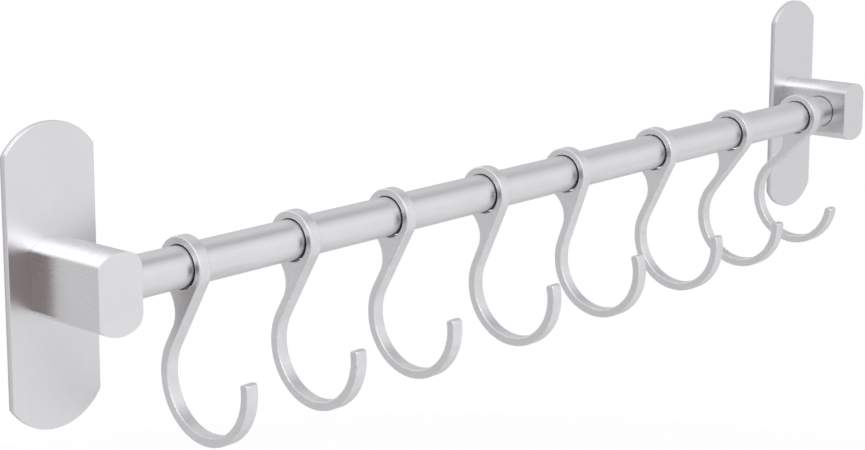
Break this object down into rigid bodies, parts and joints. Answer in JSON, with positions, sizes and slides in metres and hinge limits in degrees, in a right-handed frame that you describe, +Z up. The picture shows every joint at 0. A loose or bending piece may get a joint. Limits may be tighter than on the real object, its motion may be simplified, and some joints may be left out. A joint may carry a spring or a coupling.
{
  "type": "kitchen utensil rail",
  "caption": "Silver wall rail for kitchen utensils: a round tube held between two stick-on arched plates with blocks, with flat-cut ring hooks that swing on it.",
  "frame": {"origin": "on the wall plane at the height of the rail's axis, midway between the brackets", "axes": "+X along the rail, +Y into the wall, +Z up"},
  "size_m": [0.535, 0.0681, 0.124],
  "materials": {
    "rail_metal": "satin, brushed along the tube",
    "plate_metal": "satin anodised",
    "block_metal": "satin anodised",
    "hook_metal": "tumbled satin",
    "pad_foam": "closed-cell foam tape",
    "screw_steel": "plain zinc-plated steel"
  },
  "bodies": {
    "rail_and_brackets": {"rail_tube": "rail_metal", "left_adhesive_pad": "pad_foam", "left_wall_plate": "plate_metal", "left_bracket_block": "block_metal", "left_block_screw": "screw_steel", "left_rail_grub_screw": "screw_steel", "right_adhesive_pad": "pad_foam", "right_wall_plate": "plate_metal", "right_bracket_block": "block_metal", "right_block_screw": "screw_steel", "right_rail_grub_screw": "screw_steel"},
    "hook_1": {"hook_1": "hook_metal"},
    "hook_2": {"hook_2": "hook_metal"},
    "hook_3": {"hook_3": "hook_metal"},
    "hook_4": {"hook_4": "hook_metal"},
    "hook_5": {"hook_5": "hook_metal"},
    "hook_6": {"hook_6": "hook_metal"},
    "hook_7": {"hook_7": "hook_metal"},
    "hook_8": {"hook_8": "hook_metal"}
  },
  "joints": [
    {"name": "hook_1_swing", "type": "hinge", "parent": "rail_and_brackets", "child": "hook_1", "pos_m": [-0.20611, -0.0255, 0], "axis": [1, 0, 0], "range_deg": [-166, 17]},
    {"name": "hook_2_swing", "type": "hinge", "parent": "rail_and_brackets", "child": "hook_2", "pos_m": [-0.1499, -0.0255, 0], "axis": [1, 0, 0], "range_deg": [-166, 17]},
    {"name": "hook_3_swing", "type": "hinge", "parent": "rail_and_brackets", "child": "hook_3", "pos_m": [-0.09551, -0.0255, 0], "axis": [1, 0, 0], "range_deg": [-165, 18]},
    {"name": "hook_4_swing", "type": "hinge", "parent": "rail_and_brackets", "child": "hook_4", "pos_m": [-0.0361, -0.0255, 0], "axis": [1, 0, 0], "range_deg": [-160, 23]},
    {"name": "hook_5_swing", "type": "hinge", "parent": "rail_and_brackets", "child": "hook_5", "pos_m": [0.02057, -0.0255, 0], "axis": [1, 0, 0], "range_deg": [-156, 27]},
    {"name": "hook_6_swing", "type": "hinge", "parent": "rail_and_brackets", "child": "hook_6", "pos_m": [0.0882, -0.0255, 0], "axis": [1, 0, 0], "range_deg": [-162.5, 20.5]},
    {"name": "hook_7_swing", "type": "hinge", "parent": "rail_and_brackets", "child": "hook_7", "pos_m": [0.15355, -0.0255, 0], "axis": [1, 0, 0], "range_deg": [-173, 10]},
    {"name": "hook_8_swing", "type": "hinge", "parent": "rail_and_brackets", "child": "hook_8", "pos_m": [0.21707, -0.0255, 0], "axis": [1, 0, 0], "range_deg": [-182.5, 0.5]}
  ]
}
